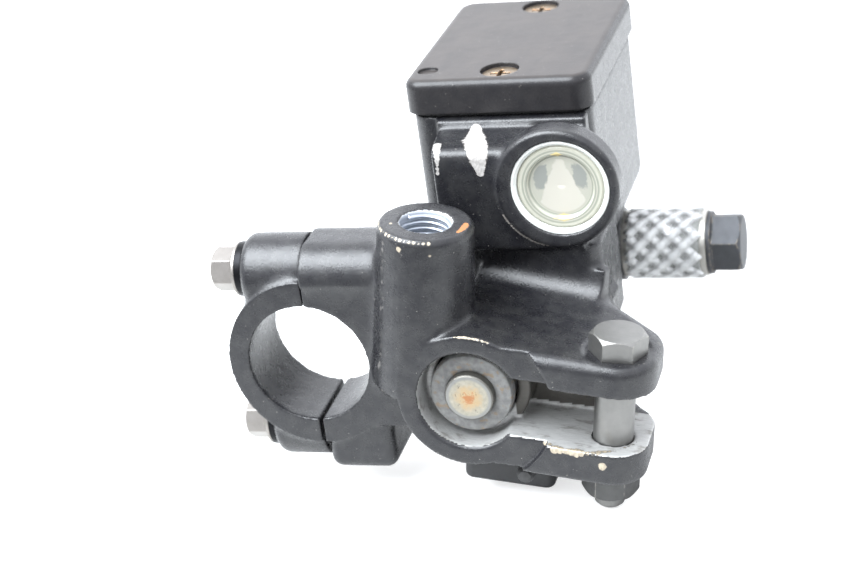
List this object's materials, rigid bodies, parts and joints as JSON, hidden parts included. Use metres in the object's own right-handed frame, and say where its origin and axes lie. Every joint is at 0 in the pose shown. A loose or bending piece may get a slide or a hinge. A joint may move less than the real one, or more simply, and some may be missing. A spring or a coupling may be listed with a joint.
{
  "type": "brake master cylinder",
  "caption": "Handlebar brake master cylinder with a square fluid reservoir, sight glass, mirror thread, bar clamp and lever ears; the lever pushes its piston into the bore.",
  "frame": {"origin": "on the handlebar axis, half way along the clamp", "axes": "+Y along the handlebar and the cylinder bore, away from the lever side; +X from the handlebar towards the lever pivot; +Z the reservoir cover's normal"},
  "size_m": [0.0994, 0.0958, 0.0778],
  "materials": {
    "housing": "satin black paint over cast aluminium, chipped at edges",
    "pivot_bolt": "dull plated steel with worn corners",
    "pivot_nut": "dull plated steel",
    "diaphragm": "matt black rubber",
    "port_baffle": "thin bright sheet",
    "sight_glass_ring": "pale satin ring",
    "sight_glass_lens": "clear plastic, slightly yellow",
    "sight_glass_seal": "black rubber",
    "sight_glass_reflector": "cream plastic",
    "return_spring": "bright spring wire",
    "stop_washer": "plain steel",
    "circlip": "dark spring steel",
    "dust_boot": "grey weathered rubber",
    "outlet_washers": "soft bright washer",
    "outlet_spacer": "clear hose",
    "outlet_braid": "white reinforcing braid under a clear skin",
    "outlet_bolt": "dull zinc plate",
    "brake_switch": "black moulded plastic",
    "switch_screw": "plated steel",
    "switch_terminals": "tinned brass",
    "piston": "anodised aluminium with a stained end face",
    "primary_cup": "black rubber",
    "secondary_cup": "black rubber",
    "switch_plunger": "black plastic",
    "reservoir_cover": "semi-gloss black paint, dusty on top",
    "diaphragm_plate": "white plastic",
    "cover_screws": "plated steel with light rust",
    "clamp_cap": "satin black paint",
    "clamp_washers": "black oxide",
    "clamp_bolts": "zinc plate, slightly worn"
  },
  "bodies": {
    "housing_group": {"housing": "housing", "pivot_bolt": "pivot_bolt", "pivot_nut": "pivot_nut", "diaphragm": "diaphragm", "port_baffle": "port_baffle", "sight_glass_ring": "sight_glass_ring", "sight_glass_lens": "sight_glass_lens", "sight_glass_seal": "sight_glass_seal", "sight_glass_reflector": "sight_glass_reflector", "return_spring": "return_spring", "stop_washer": "stop_washer", "circlip": "circlip", "dust_boot": "dust_boot", "outlet_washers": "outlet_washers", "outlet_spacer": "outlet_spacer", "outlet_braid": "outlet_braid", "outlet_bolt": "outlet_bolt", "brake_switch": "brake_switch", "switch_screw": "switch_screw", "switch_terminals": "switch_terminals"},
    "piston_group": {"piston": "piston", "primary_cup": "primary_cup", "secondary_cup": "secondary_cup"},
    "plunger_group": {"switch_plunger": "switch_plunger"},
    "cover_group": {"reservoir_cover": "reservoir_cover", "diaphragm_plate": "diaphragm_plate", "cover_screws": "cover_screws"},
    "cap_group": {"clamp_cap": "clamp_cap", "clamp_washers": "clamp_washers", "clamp_bolts": "clamp_bolts"}
  },
  "joints": [
    {"name": "piston_stroke", "type": "slide", "parent": "housing_group", "child": "piston_group", "axis": [0, 1, 0], "range_m": [0, 0.01], "deforming": ["return_spring", "dust_boot"]},
    {"name": "switch_press", "type": "slide", "parent": "housing_group", "child": "plunger_group", "axis": [0, 1, 0], "range_m": [0, 0.003]},
    {"name": "cover_lift", "type": "slide", "parent": "housing_group", "child": "cover_group", "axis": [0, 0, 1], "range_m": [0, 0.03]},
    {"name": "cap_release", "type": "slide", "parent": "housing_group", "child": "cap_group", "axis": [-1, 0, 0], "range_m": [0, 0.03]}
  ]
}
